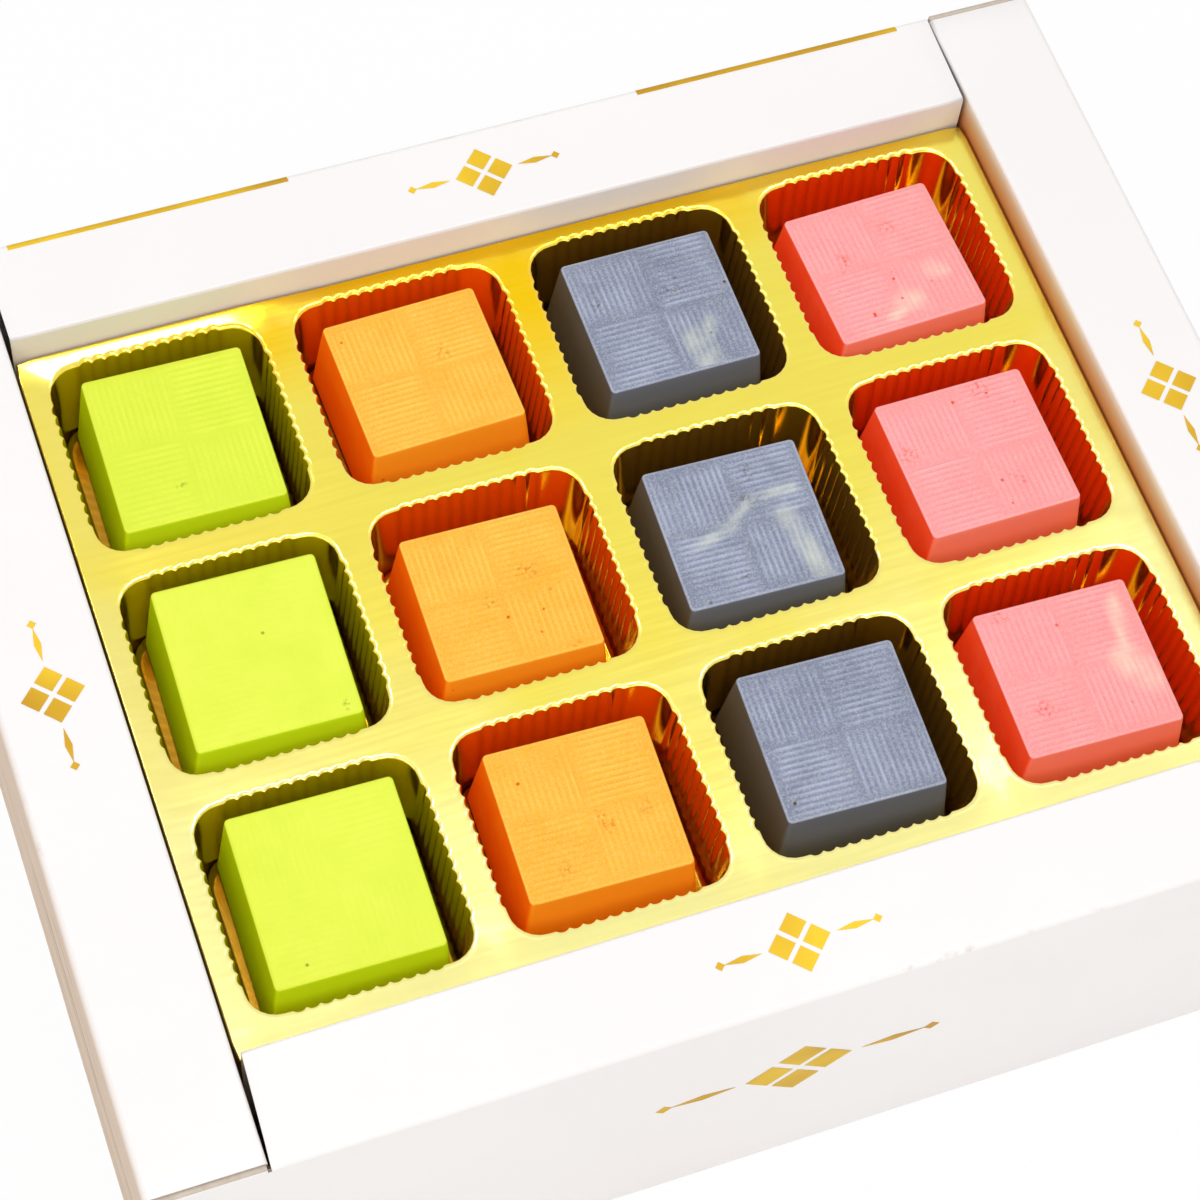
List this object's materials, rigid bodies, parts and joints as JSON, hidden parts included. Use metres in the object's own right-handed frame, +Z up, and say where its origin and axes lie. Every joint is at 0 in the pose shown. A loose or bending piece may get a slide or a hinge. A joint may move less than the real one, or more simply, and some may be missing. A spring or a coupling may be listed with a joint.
{
  "type": "box of chocolates",
  "caption": "Open folded paperboard gift box with wide hollow walls, a gold formed tray of fluted cups and square moulded chocolates that lift out.",
  "frame": {"origin": "middle of the underside of the box", "axes": "+X to the right along the long side, +Z up, -Y towards the front as pictured"},
  "size_m": [0.2, 0.16, 0.064],
  "materials": {
    "board": "white satin coated paperboard",
    "gold_foil": "gold metallised vacuum-formed sheet, finely brushed",
    "green_chocolate": "lime green tinted white chocolate, satin, fine ridges on top",
    "orange_chocolate": "orange tinted white chocolate with darker specks",
    "blue_chocolate": "blue-grey chocolate, mottled with pale streaks",
    "pink_chocolate": "pink chocolate with red specks and pale patches"
  },
  "bodies": {
    "box": {"base_panel": "board", "front_wall": "board", "back_wall": "board", "left_wall": "board", "right_wall": "board", "front_left_tab": "board", "front_right_tab": "board", "back_left_tab": "board", "back_right_tab": "board", "tray_platform": "board"},
    "tray": {"tray_land": "gold_foil", "tray_skirt": "gold_foil", "tray_cup_back_1": "gold_foil", "tray_cup_back_2": "gold_foil", "tray_cup_back_3": "gold_foil", "tray_cup_back_4": "gold_foil", "tray_cup_middle_1": "gold_foil", "tray_cup_middle_2": "gold_foil", "tray_cup_middle_3": "gold_foil", "tray_cup_middle_4": "gold_foil", "tray_cup_front_1": "gold_foil", "tray_cup_front_2": "gold_foil", "tray_cup_front_3": "gold_foil", "tray_cup_front_4": "gold_foil"},
    "green_back": {"green_chocolate_back": "green_chocolate"},
    "green_middle": {"green_chocolate_middle": "green_chocolate"},
    "green_front": {"green_chocolate_front": "green_chocolate"},
    "orange_back": {"orange_chocolate_back": "orange_chocolate"},
    "orange_middle": {"orange_chocolate_middle": "orange_chocolate"},
    "orange_front": {"orange_chocolate_front": "orange_chocolate"},
    "blue_back": {"blue_chocolate_back": "blue_chocolate"},
    "blue_middle": {"blue_chocolate_middle": "blue_chocolate"},
    "blue_front": {"blue_chocolate_front": "blue_chocolate"},
    "pink_back": {"pink_chocolate_back": "pink_chocolate"},
    "pink_middle": {"pink_chocolate_middle": "pink_chocolate"},
    "pink_front": {"pink_chocolate_front": "pink_chocolate"}
  },
  "joints": [
    {"name": "tray_lift", "type": "slide", "parent": "box", "child": "tray", "axis": [0, 0, 1], "range_m": [0, 0.04]},
    {"name": "green_back_lift", "type": "slide", "parent": "tray", "child": "green_back", "axis": [0, 0, 1], "range_m": [0, 0.03]},
    {"name": "green_middle_lift", "type": "slide", "parent": "tray", "child": "green_middle", "axis": [0, 0, 1], "range_m": [0, 0.03]},
    {"name": "green_front_lift", "type": "slide", "parent": "tray", "child": "green_front", "axis": [0, 0, 1], "range_m": [0, 0.03]},
    {"name": "orange_back_lift", "type": "slide", "parent": "tray", "child": "orange_back", "axis": [0, 0, 1], "range_m": [0, 0.03]},
    {"name": "orange_middle_lift", "type": "slide", "parent": "tray", "child": "orange_middle", "axis": [0, 0, 1], "range_m": [0, 0.03]},
    {"name": "orange_front_lift", "type": "slide", "parent": "tray", "child": "orange_front", "axis": [0, 0, 1], "range_m": [0, 0.03]},
    {"name": "blue_back_lift", "type": "slide", "parent": "tray", "child": "blue_back", "axis": [0, 0, 1], "range_m": [0, 0.03]},
    {"name": "blue_middle_lift", "type": "slide", "parent": "tray", "child": "blue_middle", "axis": [0, 0, 1], "range_m": [0, 0.03]},
    {"name": "blue_front_lift", "type": "slide", "parent": "tray", "child": "blue_front", "axis": [0, 0, 1], "range_m": [0, 0.03]},
    {"name": "pink_back_lift", "type": "slide", "parent": "tray", "child": "pink_back", "axis": [0, 0, 1], "range_m": [0, 0.03]},
    {"name": "pink_middle_lift", "type": "slide", "parent": "tray", "child": "pink_middle", "axis": [0, 0, 1], "range_m": [0, 0.03]},
    {"name": "pink_front_lift", "type": "slide", "parent": "tray", "child": "pink_front", "axis": [0, 0, 1], "range_m": [0, 0.03]}
  ]
}
